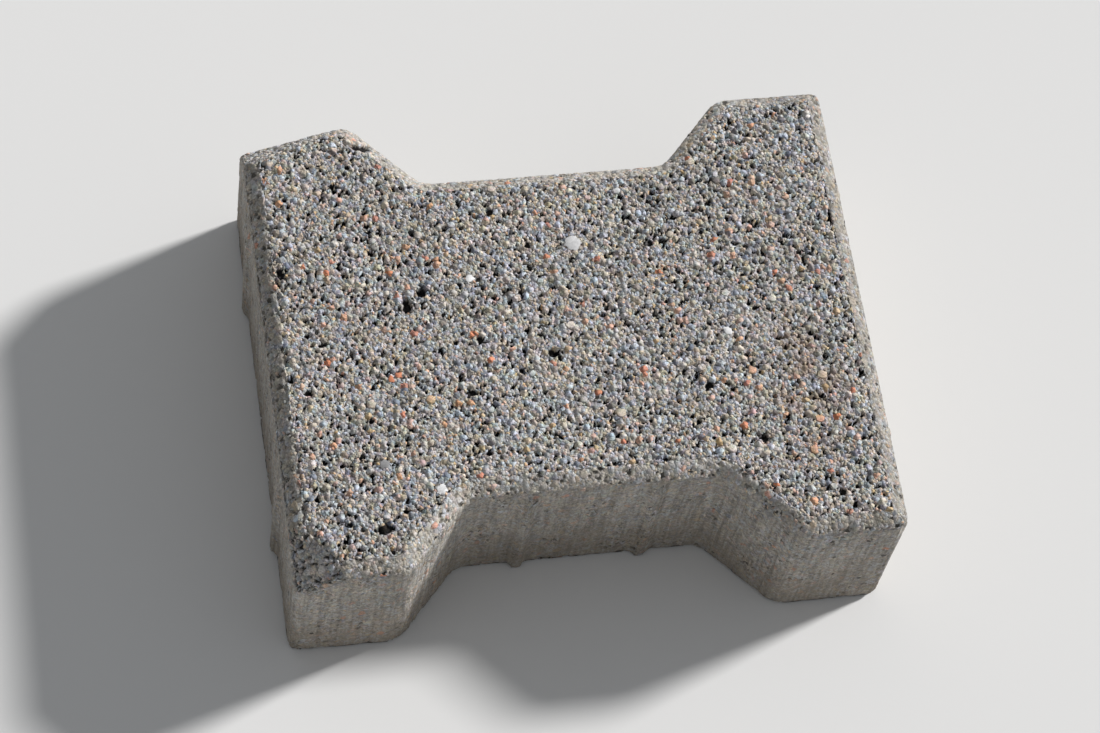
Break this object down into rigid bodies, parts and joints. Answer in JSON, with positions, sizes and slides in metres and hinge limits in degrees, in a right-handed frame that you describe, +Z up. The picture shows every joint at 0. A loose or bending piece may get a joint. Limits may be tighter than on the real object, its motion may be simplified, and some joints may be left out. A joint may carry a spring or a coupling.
{
  "type": "concrete paving stone",
  "caption": "Interlocking concrete paving stone in the shape of a wide letter I, with a chamfered top edge, spacer ribs on its sides, and two worn top corners.",
  "frame": {"origin": "middle of the underside, on the surface that the stone lies on", "axes": "+Z up out of the worn top face, +X along the length from head to head, +Y across the width from notch to notch; the two broken top corners are on the head at minus X"},
  "size_m": [0.204, 0.165, 0.06],
  "materials": {
    "concrete": "open-textured grey concrete with pale, dark and rusty sand grains, smoother on the chamfer"
  },
  "bodies": {
    "root": {"paving_stone": "concrete"}
  },
  "joints": []
}
